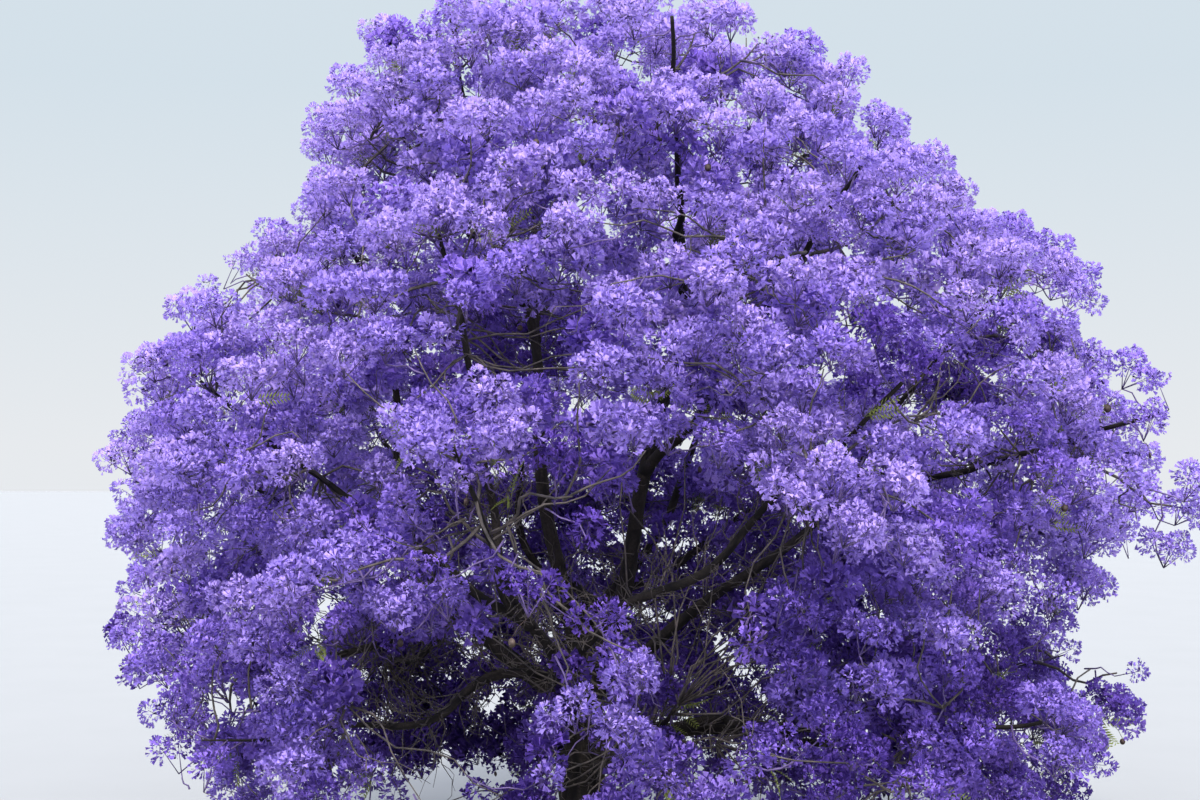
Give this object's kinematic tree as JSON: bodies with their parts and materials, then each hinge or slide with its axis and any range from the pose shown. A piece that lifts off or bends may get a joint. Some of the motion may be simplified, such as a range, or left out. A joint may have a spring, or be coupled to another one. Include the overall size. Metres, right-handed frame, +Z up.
{
  "type": "jacaranda tree",
  "caption": "Grown, wide-spreading jacaranda in full violet-blue blossom, bare of leaves, with a leaning flared trunk forked low into long curving boughs.",
  "frame": {"origin": "middle of the flat cut under the trunk, at ground level", "axes": "+X to the right of the crown's usual view, -Y to the front, +Z up"},
  "size_m": [10.3362, 9.4624, 8.8188],
  "materials": {
    "bark": "rough grey-brown bark with fine upright ridges, tan where it catches light",
    "blossom": "soft violet-blue flowers in dense panicles, on thin grey-brown twigs"
  },
  "bodies": {
    "root": {"trunk": "bark", "bough_top_2": "bark", "bough_top_1": "bark", "bough_shoulder_1": "bark", "bough_broad_6": "bark", "bough_hem_1": "bark", "bough_broad_4": "bark", "bough_broad_8": "bark", "bough_inner_1": "bark", "bough_hem_5": "bark", "bough_hem_3": "bark", "bough_hem_6": "bark", "bough_hem_4": "bark", "bough_broad_5": "bark", "bough_hem_7": "bark", "bough_hem_2": "bark", "bough_broad_7": "bark", "bough_broad_2": "bark", "bough_shoulder_3": "bark", "bough_shoulder_4": "bark", "bough_broad_3": "bark", "bough_shoulder_5": "bark", "bough_broad_9": "bark", "bough_upper_3": "bark", "bough_upper_1": "bark", "bough_broad_1": "bark", "bough_upper_2": "bark", "bough_shoulder_2": "bark", "bough_upper_4": "bark", "bough_shoulder_6": "bark", "mass_top_2": "blossom", "mass_top_1": "blossom", "mass_shoulder_1": "blossom", "mass_broad_6": "blossom", "mass_hem_1": "blossom", "mass_broad_4": "blossom", "mass_broad_8": "blossom", "mass_inner_1": "blossom", "mass_hem_5": "blossom", "mass_hem_3": "blossom", "mass_hem_6": "blossom", "mass_hem_4": "blossom", "mass_broad_5": "blossom", "mass_hem_7": "blossom", "mass_hem_2": "blossom", "mass_broad_7": "blossom", "mass_broad_2": "blossom", "mass_shoulder_3": "blossom", "mass_shoulder_4": "blossom", "mass_broad_3": "blossom", "mass_shoulder_5": "blossom", "mass_broad_9": "blossom", "mass_upper_3": "blossom", "mass_upper_1": "blossom", "mass_broad_1": "blossom", "mass_upper_2": "blossom", "mass_shoulder_2": "blossom", "mass_upper_4": "blossom", "mass_shoulder_6": "blossom"}
  },
  "joints": []
}
